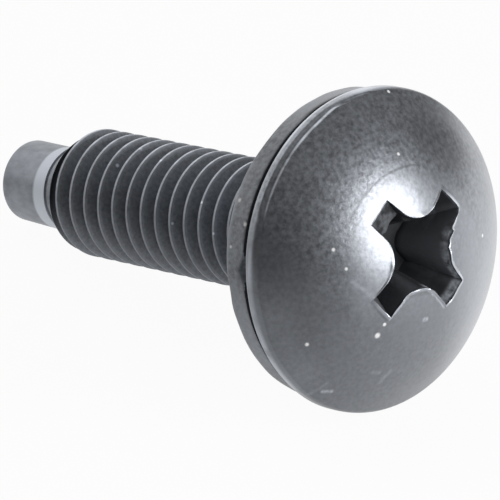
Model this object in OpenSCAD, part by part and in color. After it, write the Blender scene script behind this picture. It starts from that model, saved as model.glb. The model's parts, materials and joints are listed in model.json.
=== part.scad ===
// Rack screw with a truss head and a cross recess. It has a full thread, a plain pilot point
// and a plastic washer that is held loose between the head and the thread.
// The screw lies as it comes to rest, on the rim of its head and the end of its pilot, head towards +X.

/* [Head] */
// Diameter of the head
head_d = 11.5; // [10:0.1:13]
// Height of the head above its bearing face
head_h = 2.85; // [2.6:0.05:3.6]
// Height at which the dome runs out to the full diameter
rim_h = 0.58; // [0.5:0.02:1]
// Radius that blends the upright rim into the dome
rim_round = 0.35; // [0.1:0.05:0.4]

/* [Cross recess] */
// Span over two opposite wings of the cross, at the top of the dome
cross_span = 5.2; // [4.4:0.1:5.8]
// Span over two opposite wings at the floor of the cross
cross_floor_span = 2.6; // [2.2:0.1:3]
// Width of a wing at the top of the dome
wing_w = 1.2; // [0.9:0.05:1.4]
// Radius that rounds the corners between the wings, at the top of the dome
wing_fillet = 1.1; // [0.5:0.05:1.2]
// Depth of the cross below the top of the dome
cross_depth = 2.2; // [1.8:0.1:2.4]
// Depth of the pointed pit in the middle of the floor
pit_depth = 0.4; // [0.2:0.05:0.6]
// Turn of the cross about the screw's axis, in degrees
cross_turn = 35; // [0:5:85]

/* [Thread] */
// Diameter over the crests of the thread
thread_d = 4.75; // [4.5:0.05:5.2]
// Number of turns in an inch of length
turns_per_inch = 32; // [28:1:36]
// Length from the head's bearing face to the end of the pilot
under_head_l = 18.5; // [14:0.5:30]
// Slope of the cone on the thread's first turns, from the axis, in degrees
lead_angle = 30; // [20:1:45]
// Place of the crests round the axis, in degrees
thread_turn = 80; // [0:5:355]

/* [Pilot] */
// Length of the plain pilot beyond the thread
pilot_l = 2.9; // [2:0.1:4]
// Diameter of the pilot where it leaves the thread
pilot_base_d = 3.2; // [2.8:0.05:3.4]
// Diameter of the pilot at its end
pilot_end_d = 3.05; // [2.4:0.05:3.2]
// Bevel round the end of the pilot
pilot_bevel = 0.12; // [0.05:0.01:0.3]

/* [Washer] */
// Diameter of the washer
washer_d = 11; // [9:0.1:12.5]
// Thickness of the washer
washer_t = 0.8; // [0.65:0.05:1.6]
// Gap between the head's bearing face and the washer
washer_gap = 0.37; // [0.2:0.01:0.6]
// Clearance all round between the washer's bore and the neck
bore_clear = 0.15; // [0.1:0.01:0.2]
// Bevel at both ends of the washer's bore
bore_bevel = 0.25; // [0.2:0.01:0.3]
// Bevel on the washer's outer edges
washer_bevel = 0.12; // [0.05:0.01:0.2]
// Gap between the washer and the thread's last turn
runout_gap = 0.12; // [0.08:0.01:0.3]

/* [Hidden] */
$fn = 96;

inch = 25.4;
head_r = head_d / 2;
dome_rise = head_h - rim_h;
dome_r = (head_r ^ 2 + dome_rise ^ 2) / (2 * dome_rise);
dome_z = head_h - dome_r;
blend_x = head_r - rim_round;
blend_z = dome_z + sqrt((dome_r - rim_round) ^ 2 - blend_x ^ 2);
// The point where the blend touches the dome
touch_x = blend_x * dome_r / (dome_r - rim_round);
touch_z = dome_z + (blend_z - dome_z) * dome_r / (dome_r - rim_round);

cross_floor_z = head_h - cross_depth;
cross_flare = cross_span / cross_floor_span;
// The cutter runs on past the dome by this share of the depth
over_cut = 0.25;

pitch = inch / turns_per_inch;
thread_r = thread_d / 2;
// Sixty degree thread: its depth, and the shares of the pitch that crest, flank and root take
thread_depth = 0.6134 * pitch;
root_r = thread_r - thread_depth;
crest_share = 1 / 8;
flank_share = thread_depth * tan(30) / pitch;
root_share = 1 - crest_share - 2 * flank_share;
// The neck is the blank that the thread was rolled on, as thick as the thread's pitch diameter
neck_r = thread_r - 0.3248 * pitch;

pilot_base_r = pilot_base_d / 2;
pilot_end_r = pilot_end_d / 2;
pilot_end_z = -under_head_l;
thread_start_z = pilot_end_z + pilot_l;
seat_z = -(washer_gap + washer_t);
thread_end_z = seat_z - runout_gap;
washer_r = washer_d / 2;
bore_r = neck_r + bore_clear;
// The neck and the pilot run on this far inside the thread, so that its cones cut their sides
end_lap = pitch / 3;
pilot_slope = (pilot_base_r - pilot_end_r) / (pilot_l - pilot_bevel);

// One turn of the thread has this many steps, each with four corners
turn_steps = 30;
turn_corners = 4;
corner_r = [thread_r, thread_r, root_r, root_r];
corner_share = [0, crest_share, crest_share + flank_share, crest_share + flank_share + root_share];
// The helix starts inside the pilot and ends inside the neck, so both ends are covered
helix_z = thread_start_z - pitch;
helix_turns = ceil((thread_end_z - helix_z) / pitch) + 1;
helix_steps = turn_steps * helix_turns;
// The cones at both ends never pinch the core to less than this share of the root
core_share = 0.5;

// Where the screw can touch the ground: distance from the bearing face, and radius
front_contacts = [[0, head_r], [washer_gap + washer_t - washer_bevel, washer_r]];
lead_l = (thread_r - pilot_base_r) / tan(lead_angle);
rear_contacts = [
    [-thread_start_z - lead_l, thread_r],
    [under_head_l - pilot_bevel, pilot_end_r],
    [under_head_l, pilot_end_r - pilot_bevel]
];
lie_slope = min([for (b = rear_contacts) max([for (f = front_contacts) (f.y - b.y) / (b.x - f.x)])]);
lie_tilt = atan(lie_slope);
lie_z = cos(lie_tilt) * max([for (f = front_contacts) f.y + lie_slope * f.x]);
lie_front_x = dome_z * cos(lie_tilt) + dome_r;
lie_rear_x = max([for (b = rear_contacts) b.x * cos(lie_tilt) + b.y * sin(lie_tilt)]);

// Radius that the cones at the thread's two ends allow at a height
function cone_limit(z) = max(
    root_r * core_share,
    min(pilot_base_r + (z - thread_start_z) * tan(lead_angle), neck_r + thread_end_z - z)
);

function helix_point(step, corner) =
    let (
        angle = thread_turn + 360 * step / turn_steps,
        z = helix_z + pitch * (step / turn_steps + corner_share[corner]),
        r = min(corner_r[corner], cone_limit(z))
    )
    [r * cos(angle), r * sin(angle), z];

function corner_index(step, corner) = turn_corners * step + corner;

function two_triangles(a, b, c, d) = [[a, b, c], [a, c, d]];

// Triangles from one middle point to each edge of a closed loop
function fan(middle, loop) = [for (k = [0:len(loop) - 1]) [middle, loop[k], loop[(k + 1) % len(loop)]]];

function reversed(list) = [for (k = [len(list) - 1:-1:0]) list[k]];

// Core and thread as one helical strip that is closed by a fan at each end
module threaded_rod() {
    last = turn_corners - 1;
    rim_points = [for (step = [0:helix_steps]) for (corner = [0:last]) helix_point(step, corner)];
    start_middle = [0, 0, helix_point(0, 0).z];
    end_middle = [0, 0, helix_point(helix_steps, last).z];
    flanks = [
        for (step = [0:helix_steps - 1]) for (corner = [0:last - 1])
            each two_triangles(
                corner_index(step, corner), corner_index(step, corner + 1),
                corner_index(step + 1, corner + 1), corner_index(step + 1, corner)
            )
    ];
    // The last corner of a turn joins the first corner of the turn above
    joins = [
        for (step = [0:helix_steps - turn_steps - 1])
            each two_triangles(
                corner_index(step, last), corner_index(step + turn_steps, 0),
                corner_index(step + turn_steps + 1, 0), corner_index(step + 1, last)
            )
    ];
    start_loop = [
        for (step = [0:turn_steps]) corner_index(step, 0),
        for (corner = [last:-1:1]) corner_index(0, corner)
    ];
    end_loop = [
        for (step = [helix_steps - turn_steps:helix_steps]) corner_index(step, last),
        for (corner = [last - 1:-1:0]) corner_index(helix_steps, corner)
    ];
    middle = len(rim_points);
    polyhedron(
        points = concat(rim_points, [start_middle, end_middle]),
        faces = concat(flanks, joins, fan(middle, start_loop), fan(middle + 1, reversed(end_loop))),
        convexity = 10
    );
}

// Half section of the head: upright rim, blend and dome
module head_section() {
    intersection() {
        translate([0, dome_z]) circle(dome_r);
        union() {
            square([head_r, blend_z]);
            translate([blend_x, blend_z]) circle(rim_round);
            polygon([[0, 0], [blend_x, 0], [blend_x, blend_z], [touch_x, touch_z], [touch_x, head_h], [0, head_h]]);
        }
    }
}

// Outline of the cross with rounded corners between its wings, at the floor of the recess
module cross_outline() {
    fillet = wing_fillet / cross_flare;
    offset(r = -fillet) offset(delta = fillet) {
        square([cross_floor_span, wing_w / cross_flare], center = true);
        square([wing_w / cross_flare, cross_floor_span], center = true);
    }
}

module cross_recess() {
    rise = 1 + over_cut;
    rotate(cross_turn) {
        translate([0, 0, cross_floor_z])
            linear_extrude(height = cross_depth * rise, scale = 1 + (cross_flare - 1) * rise)
                cross_outline();
        translate([0, 0, cross_floor_z - pit_depth])
            cylinder(h = 2 * pit_depth, r1 = 0, r2 = wing_w / cross_flare);
    }
}

// Half section of the neck, which the washer turns on
module neck_section() {
    translate([0, thread_end_z - end_lap]) square([neck_r, end_lap - thread_end_z]);
}

// Half section of the pilot, tapered and bevelled at its end
module pilot_section() {
    bevel_r = pilot_end_r - pilot_bevel;
    polygon([
        [0, pilot_end_z],
        [bevel_r, pilot_end_z],
        [pilot_end_r, pilot_end_z + pilot_bevel],
        [pilot_base_r + pilot_slope * end_lap, thread_start_z + end_lap],
        [0, thread_start_z + end_lap]
    ]);
}

// Half section of the washer, bevelled at its bore and its outer edges
module washer_section() {
    translate([0, seat_z])
        polygon([
            [bore_r + bore_bevel, 0],
            [washer_r - washer_bevel, 0],
            [washer_r, washer_bevel],
            [washer_r, washer_t - washer_bevel],
            [washer_r - washer_bevel, washer_t],
            [bore_r + bore_bevel, washer_t],
            [bore_r, washer_t - bore_bevel],
            [bore_r, bore_bevel]
        ]);
}

// Tips the upright screw over until it touches the ground twice, centred on the origin
module lying() {
    translate([(lie_rear_x - lie_front_x) / 2, 0, lie_z])
        rotate([0, 90 - lie_tilt, 0])
            children();
}

module screw() {
    color([0.2, 0.21, 0.22])
        lying()
            difference() {
                union() {
                    rotate_extrude() head_section();
                    rotate_extrude() neck_section();
                    rotate_extrude() pilot_section();
                    threaded_rod();
                }
                cross_recess();
            }
}

module washer() {
    color([0.36, 0.37, 0.38])
        lying()
            rotate_extrude() washer_section();
}

screw();
washer();
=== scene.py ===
# %% [markdown]
# # A truss head rack screw with its washer
# This lesson dresses a small black rack screw: a low domed head with a cross recess, a fine thread, a
# plain pilot that finds the hole, and a loose plastic washer under the head. The packed model gives the
# place of both pieces and the axis that they share. The sizes below stay close to its solids, and the
# marks of use and the finishes are added here.

# %% Load the frame
import json
import math

import bmesh
import bpy
import numpy as np
from mathutils import Matrix, Vector, noise


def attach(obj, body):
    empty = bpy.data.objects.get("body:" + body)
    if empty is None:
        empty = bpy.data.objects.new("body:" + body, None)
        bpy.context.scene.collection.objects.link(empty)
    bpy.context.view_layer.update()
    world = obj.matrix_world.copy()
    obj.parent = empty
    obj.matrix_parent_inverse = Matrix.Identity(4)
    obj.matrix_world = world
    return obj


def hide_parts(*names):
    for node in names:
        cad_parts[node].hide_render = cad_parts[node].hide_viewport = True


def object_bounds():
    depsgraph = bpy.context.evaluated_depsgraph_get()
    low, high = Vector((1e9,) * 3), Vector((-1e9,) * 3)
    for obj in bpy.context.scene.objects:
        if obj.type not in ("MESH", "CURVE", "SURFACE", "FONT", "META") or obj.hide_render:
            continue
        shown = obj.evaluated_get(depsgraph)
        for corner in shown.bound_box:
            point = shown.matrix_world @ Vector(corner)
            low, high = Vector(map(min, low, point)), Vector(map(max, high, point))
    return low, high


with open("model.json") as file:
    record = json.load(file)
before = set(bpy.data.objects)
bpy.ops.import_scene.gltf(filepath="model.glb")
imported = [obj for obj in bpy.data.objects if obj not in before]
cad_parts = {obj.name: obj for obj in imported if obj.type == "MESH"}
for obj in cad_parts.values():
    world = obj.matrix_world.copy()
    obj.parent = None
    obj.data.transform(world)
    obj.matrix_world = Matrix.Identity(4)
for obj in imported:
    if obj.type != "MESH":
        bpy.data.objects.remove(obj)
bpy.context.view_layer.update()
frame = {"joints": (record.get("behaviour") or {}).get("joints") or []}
MM = 0.001

# %% [markdown]
# ## The screw's own axes
# The screw lies tilted, on the rim of its head and the end of its pilot. Working tilted is awkward, so
# every piece is drawn upright first, in millimetres: z runs along the axis, zero is the head's bearing
# face, and the head is above it. The washer's hinge gives the axis, so one matrix lays the finished mesh
# down.

# %% Lay-down matrix
WASHER_GAP = 0.37
WASHER_T = 0.8
spin = frame["joints"][0]
along = Vector(spin["axis"]).normalized()
side = Vector((0, 1, 0))
down = side.cross(along)
bearing = Vector(spin["pos_m"]) + along * (WASHER_GAP + WASHER_T / 2) * MM
own_axes = Matrix((down, side, along)).transposed().to_4x4()
LAY_DOWN = Matrix.Translation(bearing) @ own_axes @ Matrix.Scale(MM, 4)
lie_tilt = math.degrees(math.asin(along.z))
print("axis tilt in degrees:", round(lie_tilt, 2), "bearing face at mm:", [round(v / MM, 2) for v in bearing])

# %% [markdown]
# ## Soft changes round the axis
# A used screw isn't the same all round: its rim is flatter on one side, its burr is higher on another.
# Below, such a side is written as three numbers in degrees: a middle turn about the axis, a distance from
# it up to which the effect is full, and a distance at which it is gone.

# %% Soft helpers


def smooth_step(value, low, high):
    """Goes softly from 0 at low to 1 at high."""
    share = np.clip((value - low) / (high - low), 0.0, 1.0)
    return share * share * (3 - 2 * share)


def turns_of(places):
    """The turn of each point about the axis, in degrees."""
    return np.degrees(np.arctan2(places[:, 1], places[:, 0]))


def near_side(turn, middle, full, gone):
    """1 near the middle turn of a side, falling softly to 0, the short way round."""
    gap = np.abs((turn - middle + 180) % 360 - 180)
    return 1 - smooth_step(gap, full, gone)


def out_along(places, turn):
    """How far points lie out from the axis in the direction of a turn."""
    return places[:, 0] * math.cos(math.radians(turn)) + places[:, 1] * math.sin(math.radians(turn))


def flat_noise(places, scale, layer):
    """Smooth noise that depends on x and y alone. Each layer is another fixed pattern."""
    return np.array([noise.noise(Vector((x * scale, y * scale, layer))) for x, y in places[:, :2]])


print("a side's share at its middle and beyond its end:", near_side(0, 0, 10, 20), near_side(30, 0, 10, 20))

# %% [markdown]
# ## The outline of the cross
# The cross recess is punched cold by a pin with four tapered wings. Seen from above it is a cross with
# square wing ends and rounded corners between the wings. On this screw it sits a little off the axis, and
# one of the rounded corners bulges inwards. A boolean cut would leave long thin triangles that spoil the
# shine of the dome, so the whole head becomes one grid instead: its columns run outwards through every
# point of the cross, and its rows are rings from the bottom of the recess to the bearing face.

# %% One column for each point of the cross
CROSS_SPAN = 5.2
WING_W = 1.2
WING_FILLET = 1.15
CROSS_TURN = 35
CROSS_OFF = np.array([-0.145, 0.085])
BULGE_SIDE = (350, 22, 44)
BULGE = np.array([-0.15, -0.12])
ARC_STEPS = 14
WALL_STEPS = 8
END_STEPS = 12


def wing_outline():
    """Points of one wing that lies along +x, from corner to corner, at the top of the dome."""
    half_w = WING_W / 2
    reach = CROSS_SPAN / 2
    middle = half_w + WING_FILLET
    points = []
    for step in range(ARC_STEPS):
        turn = math.radians(135 - 45 * step / ARC_STEPS)
        points.append((middle + WING_FILLET * math.cos(turn), -middle + WING_FILLET * math.sin(turn)))
    for step in range(WALL_STEPS):
        points.append((middle + (reach - middle) * step / WALL_STEPS, -half_w))
    for step in range(END_STEPS):
        points.append((reach, half_w * (2 * step / END_STEPS - 1)))
    for step in range(WALL_STEPS):
        points.append((reach + (middle - reach) * step / WALL_STEPS, half_w))
    for step in range(ARC_STEPS):
        turn = math.radians(270 - 45 * step / ARC_STEPS)
        points.append((middle + WING_FILLET * math.cos(turn), middle + WING_FILLET * math.sin(turn)))
    return points


def turned(points, degrees):
    """Flat points turned about the axis."""
    turn = math.radians(degrees)
    spin_xy = np.array([[math.cos(turn), math.sin(turn)], [-math.sin(turn), math.cos(turn)]])
    return np.array(points) @ spin_xy


cross = np.concatenate([turned(wing_outline(), CROSS_TURN + 90 * wing) for wing in range(4)])
cross = cross + near_side(turns_of(cross), *BULGE_SIDE)[:, None] * BULGE
column_turn = turns_of(cross)
column_dir = cross / np.linalg.norm(cross, axis=1)[:, None]
print("columns round the head:", len(cross))

# %% [markdown]
# ## The section of the head
# A truss head is wide and low: a shallow dome on a thin upright rim. The die that struck this one sat a
# little off, so the dome's middle lies beside the rim's. On one side the dome stops short and leaves a
# narrow ledge along the rim, which fades away at both ends. The rim is also slightly flattened on one
# side, and more rounded on another. So each size below is worked out for every column by itself.

# %% Dome, ledge and rim
HEAD_R = 5.79
HEAD_OFF = np.array([0.021, -0.034])
DOME_OFF = HEAD_OFF + np.array([0.067, 0.088])
HEAD_H = 2.8
RIM_H = 0.52
RIM_ROUND = 0.26
SOFT_ROUND = 0.36
SOFT_SIDE = (250, 60, 120)
FLAT_IN = 0.045
FLAT_SIDE = (285, 15, 40)
LEDGE_R = 5.63
LEDGE_ROUND = 0.14
LEDGE_DROP = 0.09
LEDGE_STEP = 0.03
LEDGE_MARGIN = 0.06
LEDGE_SIDE = (212, 19.8, 33)
LEDGE_OUT = 0.09
LEDGE_OUT_SIDE = (180, 0, 20)

dome_rise = HEAD_H - RIM_H
dome_r = (HEAD_R ** 2 + dome_rise ** 2) / (2 * dome_rise)
dome_z = HEAD_H - dome_r
ledge_share = near_side(column_turn, *LEDGE_SIDE)
edge_round = RIM_ROUND + (SOFT_ROUND - RIM_ROUND) * near_side(column_turn, *SOFT_SIDE)
edge_round = edge_round + (LEDGE_ROUND - edge_round) * ledge_share
edge_slope = math.asin(LEDGE_R / dome_r)
rim_r = HEAD_R - FLAT_IN * near_side(column_turn, *FLAT_SIDE)
edge_r = rim_r - edge_round * (1 - math.sin(edge_slope))


def ledge_radius(turn):
    """The ledge narrows where it runs into the rim."""
    return LEDGE_R + LEDGE_OUT * near_side(turn, *LEDGE_OUT_SIDE)


ledge_r = np.minimum(ledge_radius(column_turn), edge_r - LEDGE_MARGIN)


def ledge_fall(radius):
    """How far the ledge lies below the dome at a radius."""
    return LEDGE_DROP * ledge_share * smooth_step(radius, ledge_r, ledge_r + LEDGE_STEP)


def dome_height(xy):
    """Height of the dome's sphere at flat points."""
    return dome_z + np.sqrt(dome_r ** 2 - ((xy - DOME_OFF) ** 2).sum(axis=1))


def ring(radius, height):
    """One row of points round the axis, with a radius and a height for each column."""
    radius = np.broadcast_to(radius, len(column_dir))
    height = np.broadcast_to(height, len(column_dir))
    return np.column_stack([HEAD_OFF + column_dir * radius[:, None], height])


print("dome radius in mm:", round(dome_r, 2), "slope at its edge:", round(math.degrees(edge_slope), 1))

# %% [markdown]
# ## The recess walls
# The wings taper down to a small floor with a pointed pit. One wing is chipped: below a shelf near its
# mouth it is shorter than the others and has a ragged edge. The rows below build the pit, the floor and
# the walls, in that order. The walls end where they meet the dome, which a few passes find.

# %% Rows of the recess
CROSS_FLOOR_SPAN = 2.6
CROSS_DEPTH = 2.2
PIT_DEPTH = 0.4
CHIP_TURN = 215
CHIP_FROM_R = 0.9
CHIP_IN_R = 1.6
CHIP_LOW_Z = 2.24
CHIP_TOP_Z = 2.4
CHIP_RAGGED = 0.28
MOUTH_PASSES = 12
WALL_ROWS = 30
WALL_CROWDING = 1.6
WALL_END = 0.04
LEAST_ROOM = 0.001

cross_floor_z = HEAD_H - CROSS_DEPTH
floor_share = CROSS_FLOOR_SPAN / CROSS_SPAN


def taper(height):
    """Share of the full outline that the recess has at a height."""
    return floor_share + (1 - floor_share) * (height - cross_floor_z) / CROSS_DEPTH


chip_edge = CHIP_RAGGED * flat_noise(cross, 1.8, 2.0)
chip_way = np.array([math.cos(math.radians(CHIP_TURN)), math.sin(math.radians(CHIP_TURN))])


def recess_ring(height):
    """One row of the recess. The chipped wing is shorter below its shelf."""
    height = np.broadcast_to(height, len(cross))
    xy = cross * taper(height)[:, None]
    reach = xy @ chip_way
    shelf = smooth_step(height, CHIP_LOW_Z, CHIP_TOP_Z)
    limit = CHIP_IN_R + chip_edge + (CROSS_SPAN / 2 - CHIP_IN_R) * shelf
    past = np.maximum(reach - CHIP_FROM_R, 0.0)
    room = np.maximum(CROSS_SPAN / 2 * taper(height) - CHIP_FROM_R, LEAST_ROOM)
    squeeze = np.minimum((limit - CHIP_FROM_R) / room, 1.0)
    xy = xy + chip_way * (past * (squeeze - 1.0))[:, None]
    return np.column_stack([CROSS_OFF + xy, height])


mouth_z = np.full(len(cross), HEAD_H)
for _ in range(MOUTH_PASSES):
    mouth_z = dome_height(recess_ring(mouth_z)[:, :2])
mouth = recess_ring(mouth_z)

pit_row = recess_ring(cross_floor_z)
pit_row[:, :2] = CROSS_OFF + column_dir * WING_W * floor_share / 2
recess_rows = [pit_row, recess_ring(cross_floor_z)]
for step in range(1, WALL_ROWS):
    share = 1 - (1 - step / WALL_ROWS) ** WALL_CROWDING
    recess_rows.append(recess_ring(cross_floor_z + (mouth_z - WALL_END - cross_floor_z) * share))
print("recess depth in mm:", CROSS_DEPTH, "mouth from", mouth_z.min().round(2), "to", mouth_z.max().round(2))

# %% [markdown]
# ## The burr round the mouth
# Punching pushes a little steel up round the mouth, so the edge has a thin raised burr, higher on the
# side where the pin leaned. On one stretch a driver has slipped and torn the edge, so it is ragged there.

# %% Rows of the lip
BURR_H = 0.11
BURR_W = 0.15
BURR_TURN = 35
RAGGED = 0.24
RAGGED_SIDE = (94, 14, 22)
INNER_LIP = ((0.004, 0.4, -0.012), (0.02, 0.8, 0.0))
OUTER_LIP = ((0.05, 1.0), (0.1, 0.8), (BURR_W, 0.25))


def on_dome(xy, lift=0.0):
    """Flat points put on the dome, or a little above it."""
    return np.column_stack([xy, dome_height(xy) + lift])


burr_noise = flat_noise(mouth, 2.2, 4.0)
burr = BURR_H * (0.5 + 0.5 * np.cos(np.radians(column_turn - BURR_TURN)))
burr = burr * np.clip(0.7 + 1.2 * burr_noise, 0.1, 1.6)
outward = mouth[:, :2] - CROSS_OFF
outward = outward / np.linalg.norm(outward, axis=1)[:, None]
ragged = RAGGED * near_side(column_turn, *RAGGED_SIDE) * flat_noise(mouth, 3.4, 7.0)
mouth[:, :2] += outward * ragged[:, None]
# Each row of the lip lies some way out from the mouth and has a share of the burr's height
lip_rows = []
for out, share, drop in INNER_LIP:
    lip_rows.append(mouth + np.column_stack([outward * out, burr * share + drop]))
for out, share in OUTER_LIP:
    lip_rows.append(on_dome(mouth[:, :2] + outward * out, burr * share))
print("highest burr in mm:", round(burr.max(), 3))

# %% [markdown]
# ## From the mouth to the bearing face
# Outside the mouth the rows change from the cross to true circles. Each point sits exactly on the dome's
# sphere, so the shine stays even whatever way the grid runs. Rows lie closer together at the ledge and
# the rim, where the shape turns quickly and the finish changes.

# %% Rows of the dome, the rim and the bearing face
PAST_LIP = 0.03
ROUND_FROM = 3.3
DOME_ROWS = 16
OUTER_ROWS = 16
LEDGE_LEAD = 0.02
LEDGE_SHARES = (0.1, 0.2, 0.35, 0.5, 0.75, 1.0)
BLEND_ROWS = 8
RIM_ROW_HEIGHTS = (0.2, 0.16, 0.12)
RIM_LOW_ROUND = 0.09
QUARTER_TURN = np.linspace(0, math.pi / 2, 5)
BEARING_IN_R = 3.0

lip_foot = mouth[:, :2] + outward * (BURR_W + PAST_LIP)
circle = HEAD_OFF + column_dir * ROUND_FROM
dome_rows = [on_dome(lip_foot + (circle - lip_foot) * (step / DOME_ROWS)) for step in range(DOME_ROWS)]
for share in np.linspace(0, 1, OUTER_ROWS):
    radius = ROUND_FROM + (ledge_r - LEDGE_LEAD - ROUND_FROM) * share
    dome_rows.append(on_dome(HEAD_OFF + column_dir * radius[:, None]))
for share in (0.0, *LEDGE_SHARES):
    radius = ledge_r + (edge_r - ledge_r) * share
    row = on_dome(HEAD_OFF + column_dir * radius[:, None])
    row[:, 2] -= ledge_fall(radius)
    dome_rows.append(row)

rim_rows = []
edge_z = dome_rows[-1][:, 2] - edge_round * math.cos(edge_slope)
for share in np.linspace(0, 1, BLEND_ROWS + 1)[1:]:
    turn = edge_slope + (math.pi / 2 - edge_slope) * share
    radius = rim_r - edge_round * (1 - math.sin(turn))
    rim_rows.append(ring(radius, edge_z + edge_round * math.cos(turn)))
for height in RIM_ROW_HEIGHTS:
    rim_rows.append(ring(rim_r, height))
for turn in QUARTER_TURN:
    radius = rim_r - RIM_LOW_ROUND * (1 - math.cos(turn))
    rim_rows.append(ring(radius, RIM_LOW_ROUND * (1 - math.sin(turn))))
rim_rows.append(ring(BEARING_IN_R, 0.0))
head_rows = recess_rows + lip_rows + dome_rows + rim_rows
print("rows of the head:", len(head_rows))

# %% [markdown]
# The rows are joined into one mesh of four-sided faces. At the bottom of the pit a fan of triangles round
# one point closes it.

# %% Mesh of the head


def grid_mesh(name, rows, first_pole=None):
    """A mesh of closed rings joined row by row. A first pole closes the first ring."""
    count = len(rows[0])
    points = [tuple(p) for row in rows for p in row]
    faces = []
    for low in range(len(rows) - 1):
        for col in range(count):
            after = (col + 1) % count
            a = low * count
            b = a + count
            faces.append((a + col, a + after, b + after, b + col))
    if first_pole is not None:
        points.append(tuple(first_pole))
        pole = len(points) - 1
        faces += [(pole, (col + 1) % count, col) for col in range(count)]
    mesh = bpy.data.meshes.new(name)
    mesh.from_pydata(points, [], faces)
    return mesh


pit_point = (CROSS_OFF[0], CROSS_OFF[1], cross_floor_z - PIT_DEPTH)
head_mesh = grid_mesh("head", head_rows, first_pole=pit_point)
print("faces of the head:", len(head_mesh.polygons))

# %% [markdown]
# ## The rolled thread
# Thread rolling presses a helical groove into the blank, and the steel rises beside it as the crest. The
# thread follows one rule, so Geometry Nodes make it: a flat grid is wrapped so that each of its rows
# becomes a helix, and the distance from the middle of the crest gives the radius. Two cones trim both
# ends: the lead-in at the pilot and the run-out under the washer. The rows line up from turn to turn, so
# merging closes the wrapped seam.

# %% Thread sizes
THREAD_R = 4.75 / 2
PITCH = 25.4 / 32
THREAD_DEPTH = 0.6 * PITCH
CREST_SHARE = 1 / 7
FLANK_SHARE = 1 / 3
RUN_OUT_GAP = 0.12
THREAD_START_Z = -15.52
THREAD_END_Z = -(WASHER_GAP + WASHER_T + RUN_OUT_GAP)
CREST_AT_Z = -14.845
PILOT_BASE_R = 1.66
BLANK_SHARE = 0.3248
NECK_R = THREAD_R - BLANK_SHARE * PITCH
LEAD_SLOPE = math.tan(math.radians(40))
TURN_COLUMNS = 112
PITCH_ROWS = 24
SEAM_MERGE = 0.0005
thread_turns = math.ceil((THREAD_END_Z - THREAD_START_Z) / PITCH) + 2
print("thread from", THREAD_START_Z, "to", round(THREAD_END_Z, 2), "mm, turns of the grid:", thread_turns)

# %% [markdown]
# Node trees are long to write out, so a small helper adds a node, sets it and links it in one call. The
# finishes use it as well.

# %% Node helper


class Tree:
    """A small helper that adds nodes to a tree and links them in one call."""

    def __init__(self, tree):
        self.tree = tree

    def add(self, kind, links=None, **settings):
        node = self.tree.nodes.new(kind)
        for key, value in settings.items():
            setattr(node, key, value)
        for key, value in (links or {}).items():
            if isinstance(value, bpy.types.NodeSocket):
                self.tree.links.new(value, node.inputs[key])
            else:
                node.inputs[key].default_value = value
        return node

    def math(self, operation, *values):
        return self.add("ShaderNodeMath", dict(enumerate(values)), operation=operation).outputs[0]

    def vector(self, operation, output, *values):
        return self.add("ShaderNodeVectorMath", dict(enumerate(values)), operation=operation).outputs[output]


print("calls of the node helper:", [name for name in vars(Tree) if not name.startswith("_")])

# %% [markdown]
# Every size of the thread is a named input of its tree. Inside it, a level counts the turns upwards from
# the first crest, and the distance from the nearest crest decides how far a point lies down the flank.

# %% Thread tree
THREAD_INPUTS = {
    "Crest radius": THREAD_R,
    "Depth": THREAD_DEPTH,
    "Pitch": PITCH,
    "Crest half": CREST_SHARE / 2,
    "Flank": FLANK_SHARE,
    "First crest": CREST_AT_Z - PITCH * math.ceil((CREST_AT_Z - THREAD_START_Z) / PITCH + 1),
    "Start": THREAD_START_Z,
    "End": THREAD_END_Z,
    "Start radius": PILOT_BASE_R,
    "End radius": NECK_R,
    "Lead slope": LEAD_SLOPE,
}


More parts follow.
